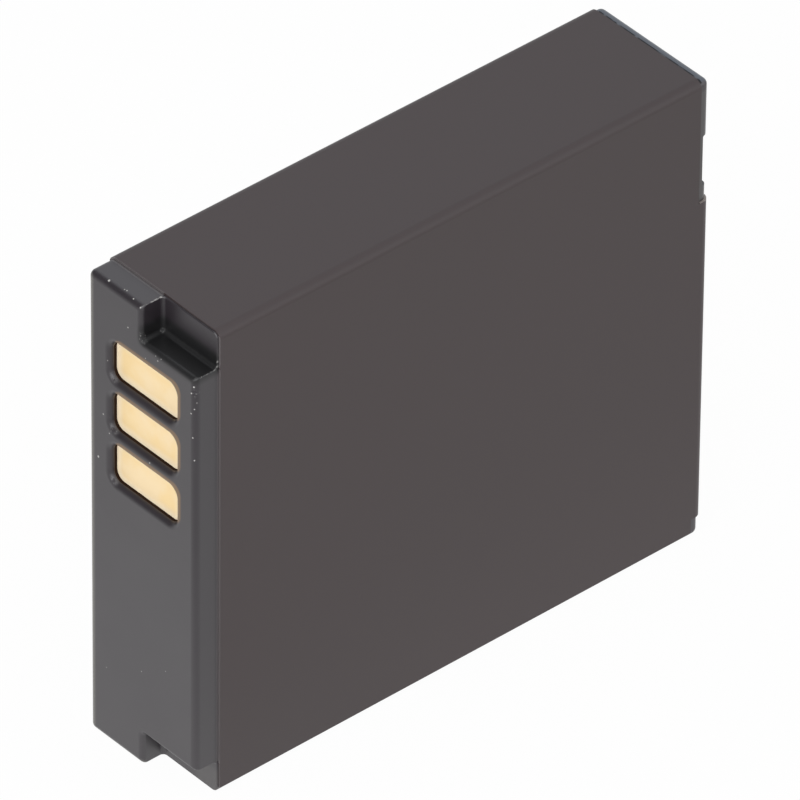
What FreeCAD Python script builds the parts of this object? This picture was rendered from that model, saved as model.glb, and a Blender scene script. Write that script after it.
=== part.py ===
import FreeCAD, Part
import math
import os

# A flat rechargeable camera battery pack, standing on its narrow long side.
# X runs from the contact end to the far end, Y from the front to the back, Z up.
# The origin is at the middle of the case's underside. All sizes are in millimetres.

# Case outside
case_length = 42.0
case_thickness = 10.15
case_height = 36.1
case_edge_radius = 0.45

# Case walls
contact_wall = 0.58
front_wall = 0.5
back_wall = 0.9
side_wall = 1.1
bay_corner_radius = 0.5

# Key notches in the front half of the contact end
key_depth = 1.77
key_width = 5.1
top_key_height = 2.65
bottom_key_height = 2.55
key_wall = 0.6
key_corner_radius = 0.3
key_mouth_radius = 0.35
key_edge_radius = 0.1

# Contact windows, one above the other, with well rounded rims and a narrow web between them
window_count = 3
window_width = 6.16
window_pitch = 3.98
window_web = 1.05
window_top_gap = 4.36
window_front_gap = 1.93
window_corner_radius = 0.7
window_edge_radius = 0.43

# Shallow groove across the far end
groove_height = 3.95
groove_depth = 0.45
groove_top_gap = 4.29
groove_corner_radius = 0.12

# Lid welded into the back of the case
cover_start = 2.6
cover_thickness = 0.5
cover_seat_width = 0.5
cover_gap = 0.08
cover_corner_radius = 1.0

# Label film
film_thickness = 0.15
film_start_gap = 0.12
film_far_margin = 0.8
film_bottom_margin = 0.45
tab_bottom = 1.55
tab_top = 26.75
tab_back_margin = 0.9
tab_corner_radius = 1.0

# Contact plates and board
contact_thickness = 0.2
contact_overlap_width = 0.6
contact_overlap_height = 0.35
contact_corner_radius = 0.5
board_thickness = 0.6
board_gap = 0.15
board_corner_radius = 0.6

# Board carrier, between the board and the cell
carrier_depth = 2.55
carrier_rim = 0.6
carrier_web = 0.4
part_room = 1.25
carrier_corner_radius = 0.8
rib_thickness = 0.8
rib_gap = 0.1
slot_gap = 0.2

# Cell
card_thickness = 0.15
card_inset = 0.35
tape_thickness = 0.15
tape_margin = 2.4
tape_corner_radius = 1.0
cell_side_gap = 0.15
cell_corner_radius = 2.0
cell_end_radius = 0.4
can_wall = 0.35
lid_thickness = 1.0
cushion_thickness = 0.35
cushion_margin = 1.6

# Terminal rivet, its gasket and the filling plug
rivet_radius = 0.7
rivet_head_length = 4.0
rivet_head_width = 2.2
rivet_head_thickness = 0.3
gasket_sleeve_radius = 1.1
gasket_length = 5.2
gasket_width = 3.2
gasket_thickness = 0.3
plug_radius = 0.5
plug_dome = 0.1
plug_offset = 6.0
hole_gap = 0.2

# Nickel strips and the thermal cutoff
strip_thickness = 0.12
strip_width = 2.0
strip_foot = 1.9
strip_bend_radius = 0.2
cutoff_length = 4.0
cutoff_width = 3.0
cutoff_thickness = 0.65
cutoff_offset = 3.2
cutoff_lead = 2.4
cutoff_edge_radius = 0.15
pad_thickness = 0.1
pad_margin = 0.3
positive_tab_offset = 9.5

# Parts on the board, with their heights above the board's middle
chip_length = 2.9
chip_width = 1.6
chip_height = 1.0
chip_lead_count = 3
chip_level = -5.5
mosfet_length = 3.0
mosfet_width = 4.4
mosfet_height = 0.9
mosfet_lead_count = 4
mosfet_level = -0.5
lead_reach = 0.8
lead_thickness = 0.15
lead_bend_radius = 0.08
lead_width = 0.3
lead_pitch = 0.75
package_standoff = 0.08
package_draft = 0.12
small_part_length = 1.6
small_part_width = 0.8
small_part_cap = 0.3
resistor_height = 0.45
capacitor_height = 0.8
thermistor_height = 0.6
cap_lip = 0.04
small_part_side = 2.4
near_row_level = 3.8
far_row_level = 6.0

# Faces of the case
contact_end = -case_length / 2
far_end = case_length / 2
front_face = -case_thickness / 2
back_face = case_thickness / 2

# The space inside
bay_front = front_face + front_wall
bay_back = back_face - back_wall
bay_floor = side_wall
bay_roof = case_height - side_wall
bay_start = contact_end + contact_wall
bay_end = far_end - side_wall
cell_back_limit = back_face - cover_thickness
lip_end = contact_end + cover_start + cover_seat_width

# The stack from the contact wall to the cell, along X
board_front = bay_start + contact_thickness
board_back = board_front + board_thickness
web_front = board_back + part_room
web_back = web_front + carrier_web
carrier_back = board_back + carrier_depth
cell_start = carrier_back + card_thickness
cell_end = bay_end - cushion_thickness
rivet_top = cell_start - gasket_thickness - rivet_head_thickness

# Board and carrier outline, between the walls of the two key notches
board_low = bottom_key_height + key_wall + board_gap
board_high = case_height - top_key_height - key_wall - board_gap
board_y = (bay_front + board_gap, bay_back - board_gap)
board_middle = (board_y[0] + board_y[1]) / 2
board_level = (board_low + board_high) / 2

# Cell outline
cell_low = bay_floor + cell_side_gap
cell_high = bay_roof - cell_side_gap
cell_y = (bay_front + tape_thickness, cell_back_limit - tape_thickness)
cell_middle = (cell_y[0] + cell_y[1]) / 2
terminal_z = (cell_low + cell_high) / 2

# Contact windows, from the top one down
window_y = (front_face + window_front_gap, front_face + window_front_gap + window_width)
window_height = window_pitch - window_web
window_tops = [case_height - window_top_gap - row * window_pitch for row in range(window_count)]
window_levels = [(top - window_height, top) for top in window_tops]


def block(x_span, y_span, z_span):
    corner = FreeCAD.Vector(x_span[0], y_span[0], z_span[0])
    size = [span[1] - span[0] for span in (x_span, y_span, z_span)]
    return Part.makeBox(size[0], size[1], size[2], corner)


def span_about(middle, width):
    return (middle - width / 2, middle + width / 2)


def edges_along(shape, axis):
    # Straight edges that run along one row axis: 0 for X, 1 for Y, 2 for Z.
    found = []
    for edge in shape.Edges:
        run = edge.Vertexes[-1].Point - edge.Vertexes[0].Point
        others = [abs(run[i]) for i in range(3) if i != axis]
        if isinstance(edge.Curve, Part.Line) and max(others) < 1e-6:
            found.append(edge)
    return found


def rounded_block(x_span, y_span, z_span, radius, axis=0):
    # A block whose four edges along one axis are rounded.
    plain = block(x_span, y_span, z_span)
    return plain.makeFillet(radius, edges_along(plain, axis))


def bent_strip(route, thickness, bend_radius, across):
    # A flat metal strip: straight runs joined by tangent arcs, thickened to one side of the
    # route and given its width along the vector across.
    edges = []
    start = route[0]
    for before, corner, after in zip(route, route[1:], route[2:]):
        to_before = (before - corner).normalize()
        to_after = (after - corner).normalize()
        half_turn = to_before.getAngle(to_after) / 2
        setback = bend_radius / math.tan(half_turn)
        bisector = (to_before + to_after).normalize()
        centre = corner + bisector * (bend_radius / math.sin(half_turn))
        arc_start = corner + to_before * setback
        arc_end = corner + to_after * setback
        edges.append(Part.LineSegment(start, arc_start).toShape())
        edges.append(Part.Arc(arc_start, centre - bisector * bend_radius, arc_end).toShape())
        start = arc_end
    edges.append(Part.LineSegment(start, route[-1]).toShape())
    face = Part.Wire(edges).makeOffset2D(thickness, 0, True, True)
    return face.extrude(across)


def case_envelope(grow, radius):
    # The outside of the case with no notches, grown on every side.
    plain = block((contact_end - grow, far_end + grow),
                  (front_face - grow, back_face + grow),
                  (-grow, case_height + grow))
    return plain.makeFillet(radius, plain.Edges)


def key_spans(grow):
    # The two key notches, grown inwards by a wall thickness, as x, y and z spans.
    x_span = (contact_end, contact_end + key_depth + grow)
    y_span = (front_face, front_face + key_width + grow)
    top = (case_height - top_key_height - grow, case_height)
    bottom = (0, bottom_key_height + grow)
    return [(x_span, y_span, top), (x_span, y_span, bottom)]


def on_box_edge(point):
    # True for a point on one of the twelve edges of the plain case block.
    on_end = min(abs(point.x - contact_end), abs(point.x - far_end)) < 1e-6
    on_side = min(abs(point.y - front_face), abs(point.y - back_face)) < 1e-6
    on_level = min(abs(point.z), abs(point.z - case_height)) < 1e-6
    return on_end + on_side + on_level >= 2


def edge_middle(edge):
    return edge.valueAt((edge.FirstParameter + edge.LastParameter) / 2)


def case_outside():
    # Block with both notches, its hollow corners eased first, then the case edges, then the
    # rims of the notches.
    shape = block((contact_end, far_end), (front_face, back_face), (0, case_height))
    for spans in key_spans(0):
        shape = shape.cut(block(*spans))
    inner = [FreeCAD.Vector(contact_end + key_depth, front_face + key_width, z)
             for z in (case_height - top_key_height, bottom_key_height)]
    hollow = [edge for edge in shape.Edges
              if any(corner.distanceToPoint(vertex.Point) < 1e-6
                     for corner in inner for vertex in edge.Vertexes)]
    shape = shape.makeFillet(key_corner_radius, hollow)
    outer = [edge for edge in shape.Edges if on_box_edge(edge_middle(edge))]
    return ease_key_rims(shape.makeFillet(case_edge_radius, outer))


def is_key_wall(face):
    # The walls of a notch lie deeper inside the case than its rounded edges.
    centre = face.CenterOfMass
    depth = min(centre.x - contact_end, far_end - centre.x, centre.y - front_face,
                back_face - centre.y, centre.z, case_height - centre.z)
    return depth > case_edge_radius


def key_rim_edges(shape):
    # Edges that belong to one notch wall only are where the notch meets the outside.
    owners = {}
    for wall in filter(is_key_wall, shape.Faces):
        for edge in wall.Edges:
            owners.setdefault(edge.hashCode(), []).append(edge)
    return [shared[0] for shared in owners.values()
            if len(shared) == 1 and shared[0].Length > 1e-6]


def ease_key_rims(shape):
    # Each rim is one smooth loop by now. It is well rounded on the contact end, nearly sharp
    # beside the label, and goes from one to the other over the rounded edges of the case.
    rim_codes = {edge.hashCode() for edge in key_rim_edges(shape)}
    document = FreeCAD.newDocument()
    case = document.addObject("Part::Feature", "case")
    case.Shape = shape
    eased = document.addObject("Part::Fillet", "eased")
    eased.Base = case
    eased.Edges = [(number, *[rim_radius(vertex.Point) for vertex in edge.Vertexes])
                   for number, edge in enumerate(shape.Edges, 1) if edge.hashCode() in rim_codes]
    document.recompute()
    return eased.Shape


def rim_radius(point):
    return key_mouth_radius if abs(point.x - contact_end) < 1e-6 else key_edge_radius


def widened(span, amount):
    return (span[0] - amount, span[1] + amount)


def contact_windows():
    # Straight openings through the contact wall.
    return [rounded_block((contact_end - contact_wall, bay_start + contact_wall), window_y,
                          z_span, window_corner_radius) for z_span in window_levels]


def far_groove():
    z_top = case_height - groove_top_gap
    span_y = (front_face - case_edge_radius, back_face + case_edge_radius)
    groove = block((far_end - groove_depth, far_end + case_edge_radius),
                   span_y, (z_top - groove_height, z_top))
    floor_edges = [edge for edge in edges_along(groove, 1)
                   if edge.Vertexes[0].Point.x < far_end]
    return groove.makeFillet(groove_corner_radius, floor_edges)


def cover_outline(gap, y_span):
    return rounded_block((contact_end + cover_start + gap, far_end - side_wall + cover_seat_width - gap),
                         y_span,
                         (side_wall - cover_seat_width + gap,
                          case_height - side_wall + cover_seat_width - gap),
                         cover_corner_radius - gap, 1)


def carrier_ribs():
    # One rib on the floor and one on the roof hold the ends of the board carrier.
    x_span = span_about((board_back + carrier_back) / 2, rib_thickness)
    y_span = (bay_front, bay_back)
    return [block(x_span, y_span, (bay_floor, board_low - rib_gap)),
            block(x_span, y_span, (board_high + rib_gap, bay_roof))]


def is_window_rim(edge):
    # True for an edge of the contact face that runs round a window.
    middle = edge_middle(edge)
    y_low, y_high = widened(window_y, 1e-4)
    return (all(abs(vertex.Point.x - contact_end) < 1e-6 for vertex in edge.Vertexes)
            and y_low <= middle.y <= y_high
            and any(low - 1e-4 <= middle.z <= high + 1e-4 for low, high in window_levels))


def housing_tray():
    shape = case_outside()
    board_bay = block((bay_start, lip_end), (bay_front, bay_back), (bay_floor, bay_roof))
    cell_bay = rounded_block((lip_end, bay_end), (bay_front, back_face + cover_thickness),
                             (bay_floor, bay_roof), bay_corner_radius, 1)
    joint = block((lip_end - bay_corner_radius, lip_end + bay_corner_radius),
                  (bay_front, bay_back), (bay_floor, bay_roof))
    hollow = board_bay.fuse([cell_bay, joint])
    for spans in key_spans(key_wall):
        hollow = hollow.cut(block(*spans))
    shape = shape.cut(hollow)
    shape = shape.cut(cover_outline(0, (cell_back_limit, back_face + cover_thickness)))
    shape = shape.cut(contact_windows())
    shape = shape.cut(far_groove())
    shape = shape.fuse(carrier_ribs()).removeSplitter()
    return shape.makeFillet(window_edge_radius, list(filter(is_window_rim, shape.Edges)))


def back_cover():
    return cover_outline(cover_gap, (cell_back_limit, back_face))


def label_wrap():
    # One film folded over the front, the top and the back, with a tab round the far end.
    film = case_envelope(film_thickness, case_edge_radius + film_thickness)
    film = film.cut(case_envelope(0, case_edge_radius))
    film_start = contact_end + key_depth + film_start_gap
    film_stop = far_end - film_far_margin
    beyond = 2 * film_thickness
    y_span = (front_face - beyond, back_face + beyond)
    wrap = block((film_start, film_stop), y_span, (film_bottom_margin, case_height + beyond))
    tab = block((film_stop, far_end + beyond), (front_face - beyond, back_face - tab_back_margin),
                (tab_bottom, tab_top))
    ends = [edge for edge in edges_along(tab, 0) if edge.Vertexes[0].Point.y > 0]
    tab = tab.makeFillet(tab_corner_radius, ends)
    return film.common(wrap.fuse(tab)).removeSplitter()


def contact_plate(row):
    # A flat plate behind the contact wall, a little larger than its window.
    return rounded_block((bay_start, board_front), widened(window_y, contact_overlap_width),
                         widened(window_levels[row], contact_overlap_height),
                         contact_corner_radius)


def circuit_board():
    return rounded_block((board_front, board_back), board_y, (board_low, board_high),
                         board_corner_radius)


def tab_slot(riser_z):
    # Opening in the carrier's web for the riser of a strip.
    return block((web_front - slot_gap, web_back + slot_gap),
                 span_about(cell_middle, strip_width + 2 * slot_gap),
                 span_about(riser_z - strip_thickness / 2, strip_thickness + 2 * slot_gap))


negative_riser_z = terminal_z + cutoff_offset + cutoff_length + cutoff_lead
positive_riser_z = terminal_z - positive_tab_offset


def board_carrier():
    # A rim that spans from the board to the cell, with a web that keeps the board's parts
    # away from the cell's terminal.
    z_span = (board_low, board_high)
    outer = rounded_block((board_back, carrier_back), board_y, z_span, carrier_corner_radius)
    inner_y = (board_y[0] + carrier_rim, board_y[1] - carrier_rim)
    inner_z = (board_low + carrier_rim, board_high - carrier_rim)
    inner_radius = carrier_corner_radius - carrier_rim
    part_pocket = rounded_block((board_back, web_front), inner_y, inner_z, inner_radius)
    cell_pocket = rounded_block((web_back, carrier_back), inner_y, inner_z, inner_radius)
    slots = [tab_slot(negative_riser_z), tab_slot(positive_riser_z)]
    return outer.cut([part_pocket, cell_pocket] + slots)


def drafted_body(height, y_span, z_span):
    # Moulded package body that tapers towards its top.
    x_low = board_back + package_standoff
    x_high = board_back + height
    wires = []
    for x, inset in ((x_low, 0), (x_high, package_draft)):
        corners = [FreeCAD.Vector(x, y, z) for y, z in
                   ((y_span[0] + inset, z_span[0] + inset), (y_span[1] - inset, z_span[0] + inset),
                    (y_span[1] - inset, z_span[1] - inset), (y_span[0] + inset, z_span[1] - inset))]
        wires.append(Part.makePolygon(corners + corners[:1]))
    return Part.makeLoft(wires, True, True)


def leaded_package(length, width, height, lead_count, z_low):
    # Chip package with a row of bent leads on each long side, feet on the board.
    y_span = span_about(board_middle, width)
    body = drafted_body(height, y_span, (z_low, z_low + length))
    shoulder = board_back + height / 2
    knee = y_span[1] + lead_reach / 2
    first = z_low + (length - (lead_count - 1) * lead_pitch - lead_width) / 2
    middle = FreeCAD.Vector(board_back, board_middle, z_low)
    pieces = []
    for row in range(lead_count):
        z_lead = first + row * lead_pitch
        places = ((shoulder, y_span[1] - package_draft), (shoulder, knee),
                  (board_back, knee), (board_back, y_span[1] + lead_reach))
        route = [FreeCAD.Vector(x, y, z_lead) for x, y in places]
        lead = bent_strip(route, lead_thickness, lead_bend_radius, FreeCAD.Vector(0, 0, lead_width))
        pieces += [lead, lead.mirror(middle, FreeCAD.Vector(0, 1, 0))]
    return body.fuse(pieces).removeSplitter()


def protection_chip():
    return leaded_package(chip_length, chip_width, chip_height, chip_lead_count,
                          board_level + chip_level)


def mosfet_chip():
    return leaded_package(mosfet_length, mosfet_width, mosfet_height, mosfet_lead_count,
                          board_level + mosfet_level)


def end_capped_part(height, side, level):
    # Chip resistor, capacitor or thermistor lying across the board, with plated end caps.
    y_span = span_about(board_middle + side, small_part_length)
    z_span = span_about(board_level + level, small_part_width)
    top = board_back + height
    core = block((board_back, top - cap_lip), (y_span[0] + cap_lip, y_span[1] - cap_lip),
                 (z_span[0] + cap_lip, z_span[1] - cap_lip))
    caps = [block((board_back, top), span, z_span)
            for span in ((y_span[0], y_span[0] + small_part_cap),
                         (y_span[1] - small_part_cap, y_span[1]))]
    return core.fuse(caps).removeSplitter()


def cell_section(x_span, inset):
    # Slice of the flat cell, its long edges rounded.
    return rounded_block(x_span, (cell_y[0] + inset, cell_y[1] - inset),
                         (cell_low + inset, cell_high - inset), cell_corner_radius - inset)


def cell_can():
    body = cell_section((cell_start, cell_end), 0)
    far_edges = [edge for edge in body.Edges
                 if all(abs(vertex.Point.x - cell_end) < 1e-6 for vertex in edge.Vertexes)]
    body = body.makeFillet(cell_end_radius, far_edges)
    return body.cut(cell_section((cell_start, cell_start + lid_thickness), can_wall))


def along_x(radius, x_span, y, z):
    return Part.makeCylinder(radius, x_span[1] - x_span[0], FreeCAD.Vector(x_span[0], y, z),
                             FreeCAD.Vector(1, 0, 0))


plug_z = terminal_z - plug_offset


def cell_lid():
    plate = cell_section((cell_start, cell_start + lid_thickness), can_wall)
    through = (cell_start, cell_start + lid_thickness)
    return plate.cut([along_x(gasket_sleeve_radius, through, cell_middle, terminal_z),
                      along_x(plug_radius, through, cell_middle, plug_z)])


def terminal_gasket():
    flange = rounded_block((cell_start - gasket_thickness, cell_start),
                           span_about(cell_middle, gasket_width),
                           span_about(terminal_z, gasket_length), gasket_width / 4)
    through = (cell_start - gasket_thickness, cell_start + lid_thickness)
    sleeve = along_x(gasket_sleeve_radius, through, cell_middle, terminal_z)
    return flange.fuse(sleeve).cut(along_x(rivet_radius, through, cell_middle, terminal_z))


def cell_terminal():
    head = rounded_block((rivet_top, rivet_top + rivet_head_thickness),
                         span_about(cell_middle, rivet_head_width),
                         span_about(terminal_z, rivet_head_length), rivet_head_width / 4)
    shank = along_x(rivet_radius, (rivet_top, cell_start + lid_thickness), cell_middle, terminal_z)
    return head.fuse(shank).removeSplitter()


def fill_plug():
    # Pressed ball: a short cylinder with a low domed top, turned about its own axis.
    rim = cell_start
    tip = FreeCAD.Vector(rim - plug_dome, cell_middle, plug_z)
    shoulder = FreeCAD.Vector(rim, cell_middle, plug_z + plug_radius)
    on_dome = FreeCAD.Vector(rim - plug_dome * 0.75, cell_middle, plug_z + plug_radius / 2)
    foot = FreeCAD.Vector(cell_start + lid_thickness, cell_middle, plug_z + plug_radius)
    heart = FreeCAD.Vector(cell_start + lid_thickness, cell_middle, plug_z)
    outline = Part.Wire([Part.Arc(tip, on_dome, shoulder).toShape(),
                         Part.LineSegment(shoulder, foot).toShape(),
                         Part.LineSegment(foot, heart).toShape(),
                         Part.LineSegment(heart, tip).toShape()])
    return Part.Face(outline).revolve(heart, FreeCAD.Vector(1, 0, 0), 360)


cutoff_low = terminal_z + cutoff_offset
cutoff_high = cutoff_low + cutoff_length
cutoff_back = carrier_back - pad_thickness
lead_back = rivet_top
lead_front = rivet_top - strip_thickness


def thermal_cutoff():
    body = block((cutoff_back - cutoff_thickness, cutoff_back),
                 span_about(cell_middle, cutoff_width), (cutoff_low, cutoff_high))
    body = body.makeFillet(cutoff_edge_radius, edges_along(body, 0))
    leads = block((lead_front, lead_back), span_about(cell_middle, strip_width),
                  (terminal_z - rivet_head_length / 4, cutoff_high + cutoff_lead))
    return body.fuse(leads).removeSplitter()


def cutoff_pad():
    return rounded_block((cutoff_back, carrier_back),
                         span_about(cell_middle, cutoff_width + 2 * pad_margin),
                         (cutoff_low - pad_margin, cutoff_high + pad_margin), pad_margin)


def cell_tab(weld_face, riser_z):
    # Nickel strip from a weld face on the cell's side, through the web, to the board.
    y_low = cell_middle - strip_width / 2
    board_face = board_back + strip_thickness
    places = ((weld_face, riser_z - strip_foot), (weld_face, riser_z),
              (board_face, riser_z), (board_face, riser_z + strip_foot))
    route = [FreeCAD.Vector(x, y_low, z) for x, z in places]
    return bent_strip(route, strip_thickness, strip_bend_radius, FreeCAD.Vector(0, strip_width, 0))


def end_insulator():
    # Card over the lid, cut out round the gasket, the plug and the positive tab.
    card = cell_section((carrier_back, cell_start), card_inset)
    depth = (carrier_back, cell_start)
    gasket_hole = block(depth, span_about(cell_middle, gasket_width + 2 * hole_gap),
                        span_about(terminal_z, gasket_length + 2 * hole_gap))
    plug_hole = along_x(plug_radius + hole_gap, depth, cell_middle, plug_z)
    tab_hole = block(depth, span_about(cell_middle, strip_width + 2 * hole_gap),
                     (positive_riser_z - strip_foot - hole_gap,
                      positive_riser_z + strip_thickness + hole_gap))
    return card.cut([gasket_hole, plug_hole, tab_hole])


def cell_tape(y_span):
    return rounded_block((cell_start + tape_margin, cell_end - tape_margin), y_span,
                         (cell_low + tape_margin, cell_high - tape_margin), tape_corner_radius, 1)


def end_cushion():
    return block((cell_end, bay_end), (cell_y[0] + cushion_margin, cell_y[1] - cushion_margin),
                 (cell_low + cushion_margin, cell_high - cushion_margin))


nodes = {
    "housing_tray": housing_tray(),
    "back_cover": back_cover(),
    "label_wrap": label_wrap(),
    "positive_contact": contact_plate(0),
    "sense_contact": contact_plate(1),
    "negative_contact": contact_plate(2),
    "circuit_board": circuit_board(),
    "board_carrier": board_carrier(),
    "protection_chip": protection_chip(),
    "mosfet_chip": mosfet_chip(),
    "sense_resistor": end_capped_part(resistor_height, 0, near_row_level),
    "filter_resistor": end_capped_part(resistor_height, -small_part_side, near_row_level),
    "filter_capacitor": end_capped_part(capacitor_height, small_part_side, near_row_level),
    "bypass_capacitor": end_capped_part(capacitor_height, -small_part_side, far_row_level),
    "thermistor": end_capped_part(thermistor_height, small_part_side, far_row_level),
    "cell_can": cell_can(),
    "cell_lid": cell_lid(),
    "terminal_gasket": terminal_gasket(),
    "cell_terminal": cell_terminal(),
    "fill_plug": fill_plug(),
    "thermal_cutoff": thermal_cutoff(),
    "cutoff_pad": cutoff_pad(),
    "negative_tab": cell_tab(lead_front, negative_riser_z),
    "positive_tab": cell_tab(cell_start, positive_riser_z),
    "end_insulator": end_insulator(),
    "front_tape": cell_tape((bay_front, cell_y[0])),
    "back_tape": cell_tape((cell_y[1], cell_back_limit)),
    "end_cushion": end_cushion(),
}

os.makedirs("parts", exist_ok=True)
for name, shape in nodes.items():
    shape.exportStep("parts/" + name + ".step")
    print(name, "solids", len(shape.Solids), "valid", shape.isValid(),
          "volume", round(shape.Volume, 3))
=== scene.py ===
import math
from functools import reduce
import bpy
import bmesh
from mathutils import Matrix, Vector


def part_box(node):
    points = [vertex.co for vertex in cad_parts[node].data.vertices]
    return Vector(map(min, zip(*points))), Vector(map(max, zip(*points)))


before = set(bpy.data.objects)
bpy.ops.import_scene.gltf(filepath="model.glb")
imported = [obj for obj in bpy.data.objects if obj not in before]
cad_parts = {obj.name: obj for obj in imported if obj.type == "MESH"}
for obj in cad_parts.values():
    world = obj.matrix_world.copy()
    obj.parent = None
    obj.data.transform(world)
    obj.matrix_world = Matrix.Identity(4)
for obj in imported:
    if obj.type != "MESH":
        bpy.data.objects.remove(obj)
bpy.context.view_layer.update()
mm = 0.001
print("frame loaded")

# The photograph's view, measured from the lower front corner of the contact end
view = {
    "azimuth": -41.33,
    "elevation": 38.0,
    "roll": 0.6,
    "distance": 963.9 * mm,
    "right": 12.746 * mm,
    "up": 25.185 * mm,
    "focalPixels": 15499.0,
    "framePixels": 800,
    "sensor": 36.0,
    "clipEnd": 10.0,
}


def placeCamera(settings):
    azimuth = math.radians(settings["azimuth"])
    elevation = math.radians(settings["elevation"])
    roll = math.radians(settings["roll"])
    back = Vector((math.sin(azimuth) * math.cos(elevation),
                   -math.cos(azimuth) * math.cos(elevation), math.sin(elevation)))
    level = Vector((math.cos(azimuth), math.sin(azimuth), 0))
    upright = back.cross(level)
    right = level * math.cos(roll) + upright * math.sin(roll)
    up = upright * math.cos(roll) - level * math.sin(roll)
    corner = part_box("housing_tray")[0]
    eye = corner + back * settings["distance"] + right * settings["right"] + up * settings["up"]
    data = bpy.data.cameras.new("camera")
    data.sensor_width = settings["sensor"]
    data.lens = settings["focalPixels"] * settings["sensor"] / settings["framePixels"]
    data.clip_end = settings["clipEnd"]
    camera = bpy.data.objects.new("camera", data)
    bpy.context.scene.collection.objects.link(camera)
    turn = Matrix((right, up, back)).transposed().to_4x4()
    camera.matrix_world = Matrix.Translation(eye) @ turn
    bpy.context.scene.camera = camera


placeCamera(view)
print("camera placed")


class Wire:
    # A node socket, so that Python's operators add the Math nodes
    def __init__(self, tree, socket):
        self.tree = tree
        self.socket = socket

    def node(self, kind, settings=None, inputs=None, output=0):
        made = self.tree.nodes.new(kind)
        for name, value in (settings or {}).items():
            setattr(made, name, value)
        for name, value in (inputs or {}).items():
            if isinstance(value, Wire):
                self.tree.links.new(value.socket, made.inputs[name])
            else:
                made.inputs[name].default_value = value
        return Wire(self.tree, made.outputs[output])

    def maths(self, operation, first, second=0.0):
        return self.node("ShaderNodeMath", {"operation": operation}, {0: first, 1: second})

    def vectors(self, operation, first, second=(0, 0, 0), output=0):
        return self.node("ShaderNodeVectorMath", {"operation": operation}, {0: first, 1: second}, output)

    def __add__(self, other):
        return self.maths("ADD", self, other)

    def __radd__(self, other):
        return self.maths("ADD", other, self)

    def __sub__(self, other):
        return self.maths("SUBTRACT", self, other)

    def __rsub__(self, other):
        return self.maths("SUBTRACT", other, self)

    def __mul__(self, other):
        return self.maths("MULTIPLY", self, other)

    def __rmul__(self, other):
        return self.maths("MULTIPLY", other, self)

    def larger(self, other):
        return self.maths("MAXIMUM", self, other)

    def smaller(self, other):
        return self.maths("MINIMUM", self, other)

    def fade(self, full, none):
        # 1 where this wire has the value full, going smoothly to 0 at none
        return self.node("ShaderNodeMapRange", {"interpolation_type": "SMOOTHSTEP"},
                         {"Value": self, "From Min": full, "From Max": none, "To Min": 1.0, "To Max": 0.0})


def linear(red, green, blue):
    # An sRGB colour of 0 to 255 as the linear colour that a socket takes
    levels = [channel / 255 for channel in (red, green, blue)]
    return [c / 12.92 if c <= 0.04045 else ((c + 0.055) / 1.055) ** 2.4 for c in levels] + [1]


def startMaterial(name):
    # Gives the material, its Principled shader and the wire of its Object coordinates
    material = bpy.data.materials.new(name)
    material.use_nodes = True
    tree = material.node_tree
    shader = tree.nodes["Principled BSDF"]
    coords = tree.nodes.new("ShaderNodeTexCoord")
    return material, shader, Wire(tree, coords.outputs["Object"])


def noise(place, scale, detail, rough=0.5):
    return place.node("ShaderNodeTexNoise", None,
                      {"Vector": place, "Scale": scale, "Detail": detail, "Roughness": rough})


def mixed(factor, first, second):
    # The numbers are the places of the Mix node's colour sockets
    return factor.node("ShaderNodeMix", {"data_type": "RGBA"}, {0: factor, 6: first, 7: second}, 2)


def feed(shader, **sockets):
    for name, value in sockets.items():
        socket = shader.inputs[name.replace("_", " ")]
        if isinstance(value, Wire):
            value.tree.links.new(value.socket, socket)
        else:
            socket.default_value = value


def varied(mottle, roughness, spread):
    # Roughness that goes up and down with the mottle, around its set value
    return mottle * spread + (roughness - spread / 2)


def grain(place, settings):
    texture = noise(place, settings["grainScale"], detail=3.0, rough=0.6)
    return place.node("ShaderNodeBump", None, {"Strength": settings["grainStrength"],
                                               "Distance": settings["grainHeight"], "Height": texture})


def along(place, axis):
    return place.node("ShaderNodeSeparateXYZ", None, {0: place}, axis)


def fromBox(place, low, high):
    # Distance in metres from a box that two corners in millimetres give
    middle = [(a + b) / 2 * mm for a, b in zip(low, high)]
    half = [(b - a) / 2 * mm for a, b in zip(low, high)]
    offset = place.vectors("ABSOLUTE", place.vectors("SUBTRACT", place, middle))
    beyond = place.vectors("MAXIMUM", place.vectors("SUBTRACT", offset, half))
    return place.vectors("LENGTH", beyond, output=1)


def nearest(distances):
    return reduce(Wire.smaller, distances)


def onBoxes(place, boxes, width):
    # 1 inside the boxes, going smoothly to 0 at a width in millimetres outside them
    return nearest([fromBox(place, low, high) for low, high in boxes]).fade(0.0, width * mm)


def withZones(place, colour, zones):
    for finish, width, boxes in zones.values():
        colour = mixed(onBoxes(place, boxes, width), colour, finish)
    return colour


def windowBox(name, front=-1.0, back=0.0):
    # The opening in front of a contact plate, as two corners in millimetres: the plate without
    # what the wall hides, from one depth to another, measured from the plate's face
    low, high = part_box(name)
    hiddenWidth = 0.6
    hiddenHeight = 0.35
    return ((low.x / mm + front, low.y / mm + hiddenWidth, low.z / mm + hiddenHeight),
            (low.x / mm + back, high.y / mm - hiddenWidth, high.z / mm - hiddenHeight))


contacts = ("positive_contact", "sense_contact", "negative_contact")

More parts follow.
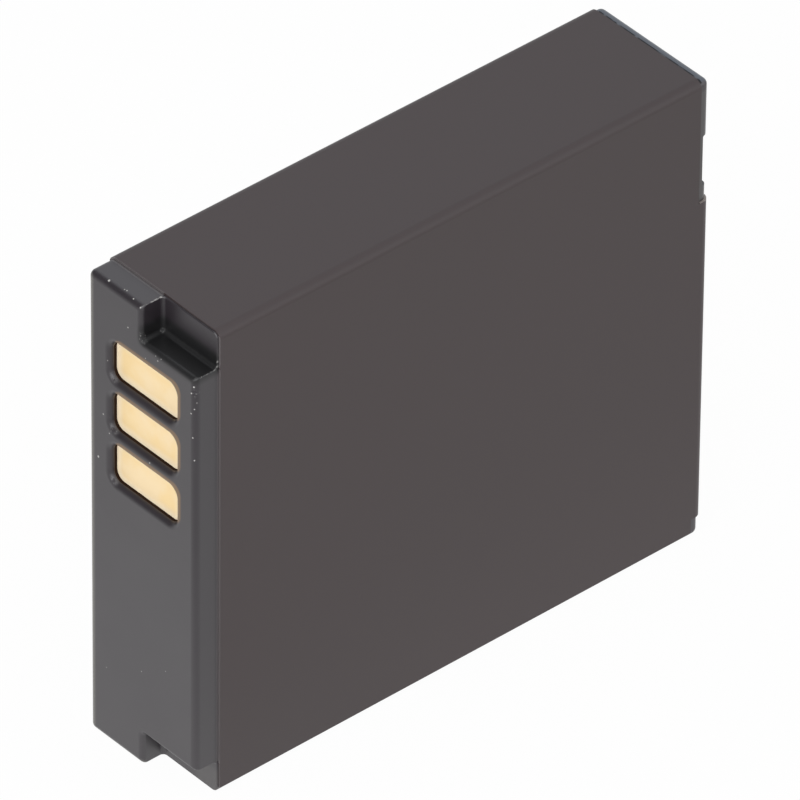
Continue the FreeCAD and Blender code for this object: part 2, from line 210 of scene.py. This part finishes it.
# White dust on the contact end: specks and smudges as x, y, z and radius in millimetres, the
# smudges by their strength, and finer dust all over
dust = {
    "colour": linear(190, 189, 186),
    "roughness": 0.85,
    "specks": [
        (-20.73, 3.36, 36.06, 0.08), (-20.57, 1.86, 36.10, 0.05), (-20.76, 1.01, 36.05, 0.05),
        (-20.90, 0.20, 35.93, 0.05), (-20.61, 2.03, 36.10, 0.04), (-21.00, 1.26, 33.81, 0.05),
        (-21.00, 3.24, 30.04, 0.06), (-21.00, -1.56, 32.89, 0.05), (-21.00, -0.40, 32.41, 0.035),
        (-21.00, -1.86, 33.19, 0.04), (-21.00, -1.35, 33.15, 0.035), (-20.92, -4.88, 32.79, 0.06),
        (-20.99, -4.72, 32.25, 0.055), (-20.79, -5.00, 31.58, 0.035), (-20.90, -4.90, 31.08, 0.045),
        (-21.00, -4.69, 30.67, 0.05), (-20.96, -4.81, 28.85, 0.055), (-20.91, -4.90, 27.10, 0.05),
        (-21.00, 3.65, 25.67, 0.05), (-21.00, 4.13, 22.06, 0.08), (-21.00, 3.07, 24.50, 0.04),
        (-21.00, -0.76, 24.48, 0.045), (-21.00, 2.60, 25.26, 0.035), (-21.00, 2.66, 21.02, 0.04),
        (-21.00, 0.06, 7.51, 0.035), (-21.00, -2.25, 8.94, 0.035), (-21.00, 3.44, 5.75, 0.035),
    ],
    "smudges": [
        (0.5, [(-20.97, -0.15, 33.75, 0.42), (-19.25, 0.03, 33.50, 0.30)]),
        (0.28, [(-20.96, 2.70, 28.90, 0.24), (-20.96, 2.75, 24.92, 0.28), (-20.96, 2.75, 20.97, 0.25),
                (-20.90, -4.90, 32.30, 0.30)]),
    ],
    "speckEdge": (-0.03 * mm, 0.02 * mm),
    "ragged": 0.05 * mm,
    "raggedScale": 9000.0,
    "smudgeEdge": (-0.15 * mm, 0.1 * mm),
    "smudgeScale": 8000.0,
    "smudgePowder": (0.7, 0.54),
    "fineScale": 520.0,
    "fineRadius": 0.03 * mm,
    "fineCore": 0.3,
    "fineShare": 0.88,
    "fineStrength": 0.4,
}


def dustOn(place, settings):
    # Share of dust, 0 to 1, at each point, and how matt the dust makes the face
    def fromPlaces(places):
        return nearest([place.vectors("DISTANCE", place, [c * mm for c in spot[:3]], 1) - spot[3] * mm
                        for spot in places])

    ragged = (noise(place, settings["raggedScale"], detail=2.0) - 0.5) * settings["ragged"]
    large = (fromPlaces(settings["specks"]) + ragged).fade(*settings["speckEdge"])
    cells = place.node("ShaderNodeTexVoronoi", None, {"Vector": place, "Scale": settings["fineScale"]})
    draw = along(Wire(place.tree, cells.socket.node.outputs["Color"]), 0)
    chosen = draw.maths("GREATER_THAN", draw, settings["fineShare"])
    radius = settings["fineRadius"] * settings["fineScale"]
    fine = (cells + ragged * settings["fineScale"]).fade(settings["fineCore"] * radius, radius)
    share = large.larger(fine * chosen * settings["fineStrength"])
    matt = share
    powder = noise(place, settings["smudgeScale"], detail=3.0).fade(*settings["smudgePowder"])
    for strength, places in settings["smudges"]:
        smudge = fromPlaces(places).fade(*settings["smudgeEdge"])
        share = share.larger(smudge * powder * strength)
        matt = matt.larger(smudge)
    return share, matt


# Moulded case: near black with spark-eroded grain, with painted shade inside the windows and the notch.
# Its zones are colours, mostly painted light, that fade out from boxes in millimetres: a colour, the width
# of the fade and the boxes
case = {
    "colour": linear(38, 32, 38),
    "shade": linear(34, 28, 34),
    "mottle": 260.0,
    "grainScale": 9000.0,
    "grainHeight": 0.006 * mm,
    "grainStrength": 0.35,
    "roughness": 0.4,
    "roughnessSpread": 0.1,
    "ior": 1.76,
    "zones": {
        # Painted highlight along the end face's back and bottom edges
        "edgeHighlight": (linear(112, 110, 104), 0.45, [((-21.05, 4.85, 0.3), (-20.95, 5.1, 35.6)),
                                                 ((-21.05, -5.1, -0.05), (-20.95, 5.1, 0.0))]),
        # Painted light: lighter at the foot of the label's front edge
        "footLight": (linear(60, 56, 57), 0.9, [((-19.3, -5.0, 0.1), (-19.1, -3.5, 1.4))]),
        # Painted bluish highlight on the strip beyond the film's far end
        "farTopHighlight": (linear(66, 74, 86), 0.2, [((20.45, -4.8, 35.6), (21.05, 5.1, 36.15))]),
        # Painted highlight on the far front edge above the tab
        "farFrontHighlight": (linear(60, 58, 58), 0.3, [((20.3, -5.1, 26.8), (21.05, -4.7, 35.2))]),
        # Painted light along the film's edge, against the shade in the crevice there
        "creviceLight": (linear(84, 80, 82), 0.1, [((-19.20, -5.2, 2.6), (-19.1, -5.0, 33.3)),
                                          ((-19.26, 0.1, 36.0), (-19.1, 5.0, 36.2))]),
    },
    # Pale patchy lines on the notch rims: partly wear, partly painted highlight on the sharp edges
    "wearAndGlintColour": linear(150, 148, 146),
    "wearAndGlintRims": [
        ((-20.60, 0.0, 36.06), (-19.30, 0.05, 36.12)),
        ((-20.55, -5.10, 33.43), (-19.80, -5.03, 33.48)),
        ((-19.80, -5.08, 33.45), (-19.35, -5.03, 33.62)),
        ((-19.25, -5.08, 33.60), (-19.18, -5.03, 34.05)),
    ],
    "wearAndGlintWidth": 0.06,
    "wearAndGlintScale": 5200.0,
    "wearAndGlintPatches": (0.62, 0.48),
    # Painted reflection of the gold on the window rims
    "warmColour": linear(110, 82, 46),
    "warmShift": 0.45,
    "warmCorner": 0.7,
    "warmFrom": 0.68,
    "warmTo": 0.89,
    "warmDepth": (-20.88, -20.76),
    # Painted shade: dark, matt walls deep in the windows
    "deepColour": linear(44, 30, 22),
    "deepFrom": -0.2,
    "deepFade": 0.03,
    "deepRoughness": 0.9,
    "deepIor": 1.15,
    # Painted shade: a darker colour inside the notch
    "notchColour": linear(24, 24, 25),
    "notchBox": ((-20.8, -4.9, 33.45), (-19.2, -0.1, 34.2)),
    "notchFade": 0.7,
    "notchShare": 0.42,
    # Painted shadow: a broken dark line on the case just past the film's far end
    "filmEndShadow": ((20.2, -5.2, 35.95), (20.42, 4.6, 36.2)),
    "filmEndShadowWidth": 0.03,
    "filmEndShadowScale": 1500.0,
    "filmEndShadowBreaks": (0.5, 0.65),
    "filmEndShadowShare": 0.75,
}


def caseMaterial(settings):
    material, shader, place = startMaterial("caseGrain")
    mottle = noise(place, settings["mottle"], detail=3.0)
    colour = mixed(mottle, settings["shade"], settings["colour"])
    colour = withZones(place, colour, settings["zones"])
    # Painted shade inside the notch
    notch = onBoxes(place, [settings["notchBox"]], settings["notchFade"])
    colour = mixed(notch, colour, settings["notchColour"])
    # Painted reflection: the gold's shine on the upper and right rims of the windows
    shift = settings["warmShift"]
    corner = settings["warmCorner"]
    shifted = [((low[0], low[1] - shift + corner, low[2] + shift + corner),
                (high[0], high[1] - shift - corner, high[2] + shift - corner))
               for low, high in [windowBox(name) for name in contacts]]
    warm = nearest([fromBox(place, low, high) for low, high in shifted])
    outer, inner = settings["warmDepth"]
    warm = warm.fade(settings["warmFrom"] * mm, settings["warmTo"] * mm)
    warm = warm * along(place, 0).fade(outer * mm, inner * mm)
    colour = mixed(warm, colour, settings["warmColour"])
    # Pale patches on the notch rims: wear and painted highlight
    patches = noise(place, settings["wearAndGlintScale"], detail=2.0).fade(*settings["wearAndGlintPatches"])
    wearAndGlint = onBoxes(place, settings["wearAndGlintRims"], settings["wearAndGlintWidth"]) * patches
    colour = mixed(wearAndGlint, colour, settings["wearAndGlintColour"])
    dusty, matt = dustOn(place, dust)
    colour = mixed(dusty, colour, dust["colour"])
    bumps = grain(place, settings)
    roughness = varied(mottle, settings["roughness"], settings["roughnessSpread"])
    feed(shader, IOR=settings["ior"], Base_Color=colour, Normal=bumps,
         Roughness=roughness.larger(matt * dust["roughness"]))
    # A second, matt shader where little is reflected, as painted shade: in the windows, the notch and a
    # painted shadow at the film's far end
    windows = [windowBox(name, settings["deepFrom"]) for name in contacts]
    dark = onBoxes(place, windows, settings["deepFade"])
    deep = place.tree.nodes.new("ShaderNodeBsdfPrincipled")
    feed(deep, IOR=settings["deepIor"], Roughness=settings["deepRoughness"], Normal=bumps,
         Base_Color=mixed(dark, settings["notchColour"], settings["deepColour"]))
    # Painted shadow past the film's far end, broken into dashes
    dashes = noise(place, settings["filmEndShadowScale"], detail=1.0).fade(*settings["filmEndShadowBreaks"])
    filmEndShadow = onBoxes(place, [settings["filmEndShadow"]], settings["filmEndShadowWidth"]) * dashes * settings["filmEndShadowShare"]
    share = dark.larger(notch * settings["notchShare"]).larger(filmEndShadow)
    both = share.node("ShaderNodeMixShader", None, {0: share, 1: Wire(place.tree, shader.outputs[0]),
                                                    2: Wire(place.tree, deep.outputs[0])})
    feed(place.tree.nodes["Material Output"], Surface=both)
    return material


# Label film: satin, bare, a little warmer than the case, with painted shade along its fold, and paler
# where it is cut, partly its core and partly painted highlight on the cut edges. Its zones are like the
# case's
film = {
    "colour": linear(60, 50, 51),
    "shade": linear(57, 48, 49),
    "mottle": 90.0,
    "grainScale": 14000.0,
    "grainHeight": 0.003 * mm,
    "grainStrength": 0.2,
    "roughness": 0.45,
    "roughnessSpread": 0.06,
    "zones": {
        # Painted shade along the fold
        "fold": (linear(49, 40, 41), 0.3, [((-19.2, -5.3, 36.18), (20.3, -5.17, 36.3))]),
        # Paler cut edges: the film's core and painted highlight
        "nearCut": (linear(98, 93, 94), 0.02, [((-19.2, -5.3, 2.4), (-19.11, -5.0, 33.4)),
                                               ((-19.2, 0.1, 35.9), (-19.1, 5.3, 36.3))]),
        "lowCut": (linear(78, 72, 73), 0.02, [((-19.2, -5.3, 0.0), (-19.11, -5.0, 2.3))]),
        "notchCut": (linear(94, 89, 90), 0.02, [((-19.2, -5.3, 33.5), (-19.11, -5.0, 35.9))]),
        "tabCut": (linear(150, 142, 138), 0.02, [((20.3, -5.3, 26.74), (21.2, 4.3, 26.8))]),
    },
}


def filmMaterial(settings):
    material, shader, place = startMaterial("labelFilm")
    mottle = noise(place, settings["mottle"], detail=2.0)
    colour = mixed(mottle, settings["shade"], settings["colour"])
    feed(shader, Base_Color=withZones(place, colour, settings["zones"]),
         Normal=grain(place, settings),
         Roughness=varied(mottle, settings["roughness"], settings["roughnessSpread"]))
    return material


# Contact plates: satin gold plating, with painted light round the edge of each window, against the shade
# of its walls
gold = {
    "colour": linear(250, 220, 163),
    # Paler tone for the mottle, and painted light round the window edge
    "pale": linear(254, 235, 203),
    "mottle": 420.0,
    "mottleEdge": (0.62, 0.38),
    "mottleShare": 0.45,
    "metallic": 0.3,
    "roughness": 0.42,
    "roughnessSpread": 0.08,
    "grainScale": 11000.0,
    "grainHeight": 0.002 * mm,
    "grainStrength": 0.3,
    "margin": 0.8,
}


def goldMaterial(name, settings):
    material, shader, place = startMaterial(name + "Gold")
    low, high = windowBox(name, -1.0, 1.0)
    margin = settings["margin"]
    # Painted light round the edge of the window, less metallic there
    paintedEdgeLight = fromBox(place, (low[0], low[1] + margin, low[2] + margin),
                   (high[0], high[1] - margin, high[2] - margin)).fade(margin * mm, 0.0)
    mottle = noise(place, settings["mottle"], detail=4.0).fade(*settings["mottleEdge"])
    paleToneAndEdgeLight = paintedEdgeLight.larger(mottle * settings["mottleShare"])
    feed(shader, Base_Color=mixed(paleToneAndEdgeLight, settings["colour"], settings["pale"]),
         Metallic=(1 - paintedEdgeLight) * settings["metallic"], Normal=grain(place, settings),
         Roughness=varied(mottle, settings["roughness"], settings["roughnessSpread"]))
    return material


# Pieces inside the case, by finish: colours, scale of the mottle, roughness and metal
hidden = {
    "boardMask": {"colour": linear(44, 104, 66), "shade": linear(34, 88, 54), "mottle": 700.0,
                  "roughness": 0.35},
    "carrierPlastic": {"colour": linear(196, 196, 190), "shade": linear(184, 184, 176), "mottle": 300.0,
                       "roughness": 0.5},
    "chipResin": {"colour": linear(44, 44, 46), "shade": linear(36, 36, 38), "mottle": 1500.0,
                  "roughness": 0.55},
    "chipCeramic": {"colour": linear(160, 134, 108), "shade": linear(148, 120, 96), "mottle": 1800.0,
                    "roughness": 0.3},
    "resistorGlaze": {"colour": linear(40, 40, 44), "shade": linear(30, 30, 34), "mottle": 1800.0,
                      "roughness": 0.25},
    "canAluminium": {"colour": linear(216, 217, 219), "shade": linear(202, 204, 206), "mottle": 160.0,
                     "roughness": 0.35, "metallic": 1.0},
    "nickelStrip": {"colour": linear(206, 202, 194), "shade": linear(190, 186, 178), "mottle": 500.0,
                    "roughness": 0.3, "metallic": 1.0},
    "gasketPlastic": {"colour": linear(58, 112, 176), "shade": linear(50, 100, 160), "mottle": 400.0,
                      "roughness": 0.45},
    "cardFibre": {"colour": linear(164, 166, 152), "shade": linear(146, 148, 134), "mottle": 2600.0,
                  "roughness": 0.8},
    "tapeFilm": {"colour": linear(204, 204, 196), "shade": linear(192, 192, 182), "mottle": 900.0,
                 "roughness": 0.5},
    "cushionFoam": {"colour": linear(62, 62, 64), "shade": linear(40, 40, 42), "mottle": 3800.0,
                    "roughness": 0.9},
}
hiddenNodes = {
    "circuit_board": "boardMask", "board_carrier": "carrierPlastic",
    "cell_can": "canAluminium", "cell_lid": "canAluminium", "fill_plug": "canAluminium",
    "cell_terminal": "nickelStrip", "negative_tab": "nickelStrip", "positive_tab": "nickelStrip",
    "terminal_gasket": "gasketPlastic", "cutoff_pad": "tapeFilm",
    "end_insulator": "cardFibre", "front_tape": "tapeFilm", "back_tape": "tapeFilm",
    "end_cushion": "cushionFoam",
}
# Parts with metal ends: their finish, the axis the ends lie along and how long the ends are
metalEnds = {
    "protection_chip": ("chipResin", 1, 0.78 * mm), "mosfet_chip": ("chipResin", 1, 0.78 * mm),
    "sense_resistor": ("resistorGlaze", 1, 0.3 * mm), "filter_resistor": ("resistorGlaze", 1, 0.3 * mm),
    "filter_capacitor": ("chipCeramic", 1, 0.3 * mm), "bypass_capacitor": ("chipCeramic", 1, 0.3 * mm),
    "thermistor": ("chipCeramic", 1, 0.3 * mm), "thermal_cutoff": ("chipResin", 2, 2.4 * mm),
}
# The metal of those ends, and the width over which it starts
tinned = {"colour": linear(200, 200, 198), "blend": 0.02 * mm}
# How far the roughness of the inner pieces goes up and down
hiddenSpread = 0.12


def hiddenMaterial(name, settings, ends=None):
    material, shader, place = startMaterial(name)
    mottle = noise(place, settings["mottle"], detail=3.0)
    colour = mixed(mottle, settings["shade"], settings["colour"])
    metallic = settings.get("metallic", 0.0)
    if ends:
        axis, middle, reach = ends
        offset = place.maths("ABSOLUTE", along(place, axis) - middle)
        metallic = offset.fade(reach + tinned["blend"], reach)
        colour = mixed(metallic, colour, tinned["colour"])
    feed(shader, Base_Color=colour, Metallic=metallic,
         Roughness=varied(mottle, settings["roughness"], hiddenSpread))
    return material


def dress(name, material):
    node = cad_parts[name]
    node.data.materials.clear()
    node.data.materials.append(material)


caseGrain = caseMaterial(case)
labelFilm = filmMaterial(film)
dress("housing_tray", caseGrain)
dress("back_cover", caseGrain)
dress("label_wrap", labelFilm)
for name in contacts:
    dress(name, goldMaterial(name, gold))
print("case, film and contacts finished")

for name, finish in hiddenNodes.items():
    dress(name, hiddenMaterial(finish, hidden[finish]))
for name, (finish, axis, length) in metalEnds.items():
    low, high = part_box(name)
    middle = (low[axis] + high[axis]) / 2
    reach = (high[axis] - low[axis]) / 2 - length
    dress(name, hiddenMaterial(name + "Finish", hidden[finish], (axis, middle, reach)))
print("inner parts finished")

# Light: broad lamps on the camera's side of each face
lamps = {
    "left": {"toward": (-0.85, -0.30, 0.42), "distance": 0.5, "size": 0.5, "power": 1.55},
    "right": {"toward": (0.45, -0.80, 0.40), "distance": 0.5, "size": 0.5, "power": 0.5},
    "top": {"toward": (-0.25, -0.10, 0.96), "distance": 0.5, "size": 0.5, "power": 0.4},
}
# What the gloss of the object sees: a white table that dims behind the left end, towards the
# front and towards the near left, a dark wall high up behind, and a pale, slightly blue sky
surroundings = {
    "ambient": 0.45,
    "skyColour": (0.95, 0.97, 1.0, 1),
    "wallToward": (-0.6, 0.6, 0.5),
    "wallFull": 0.90,
    "wallNone": 0.62,
    "wallDim": 0.9,
    "floorSize": 4.0,
    "floorColour": linear(250, 250, 250),
    "floorRoughness": 0.9,
    "floorGlow": 0.97,
    "tableDims": [
        {"toward": (-0.77, 0.64, 0), "near": 25 * mm, "far": 100 * mm, "dim": 0.25},
        {"toward": (-0.75, -0.66, 0), "near": 20 * mm, "far": 60 * mm, "dim": 0.5},
        {"toward": (0, -1, 0), "near": 0.0, "far": 20 * mm, "dim": 0.2},
    ],
}


def addLamp(name, settings):
    data = bpy.data.lights.new(name, "AREA")
    data.energy = settings["power"]
    data.size = settings["size"]
    lamp = bpy.data.objects.new(name, data)
    bpy.context.scene.collection.objects.link(lamp)
    direction = Vector(settings["toward"]).normalized()
    low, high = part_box("housing_tray")
    middle = (low + high) / 2
    lamp.matrix_world = Matrix.Translation(middle + direction * settings["distance"]) \
        @ direction.to_track_quat("Z", "Y").to_matrix().to_4x4()


def rayKinds(tree):
    path = tree.nodes.new("ShaderNodeLightPath")
    return [Wire(tree, path.outputs[name])
            for name in ("Is Camera Ray", "Is Glossy Ray", "Is Transmission Ray")]


def setWorld(settings):
    world = bpy.data.worlds.new("studio")
    bpy.context.scene.world = world
    world.use_nodes = True
    tree = world.node_tree
    camera, glossy, through = rayKinds(tree)
    coords = Wire(tree, tree.nodes.new("ShaderNodeTexCoord").outputs["Generated"])
    facing = coords.vectors("DOT_PRODUCT", coords, Vector(settings["wallToward"]).normalized(), 1)
    wall = facing.fade(settings["wallFull"], settings["wallNone"]) * settings["wallDim"]
    seen = camera.larger(glossy).larger(through)
    strength = (seen * (1 - settings["ambient"]) + settings["ambient"]) * (1 - wall * glossy)
    feed(tree.nodes["Background"], Strength=strength,
         Color=mixed(glossy, (1, 1, 1, 1), settings["skyColour"]))


def tableDim(place, part):
    # How dim the table looks, going from nothing near the object to the full share far off
    reach = place.vectors("DOT_PRODUCT", place, part["toward"], 1)
    return reach.fade(part["far"], part["near"]) * part["dim"]


def makeFloor(settings):
    mesh = bpy.data.meshes.new("floor")
    shape = bmesh.new()
    bmesh.ops.create_grid(shape, x_segments=1, y_segments=1, size=settings["floorSize"])
    shape.to_mesh(mesh)
    shape.free()
    floor = bpy.data.objects.new("floor", mesh)
    bpy.context.scene.collection.objects.link(floor)
    material, shader, place = startMaterial("paleFloor")
    tree = place.tree
    camera, glossy, through = rayKinds(tree)
    feed(shader, Base_Color=settings["floorColour"], Roughness=settings["floorRoughness"])
    glow = tree.nodes.new("ShaderNodeEmission")
    dim = reduce(Wire.larger, [tableDim(place, part) for part in settings["tableDims"]])
    feed(glow, Strength=1 - dim * glossy)
    seen = camera.larger(glossy).larger(through)
    both = seen.node("ShaderNodeMixShader", None, {0: seen * settings["floorGlow"],
                                                   1: Wire(tree, shader.outputs[0]),
                                                   2: Wire(tree, glow.outputs[0])})
    feed(tree.nodes["Material Output"], Surface=both)
    mesh.materials.append(material)


for name, settings in lamps.items():
    addLamp(name, settings)
setWorld(surroundings)
makeFloor(surroundings)
bpy.context.scene.view_settings.view_transform = "Standard"
print("studio lit")
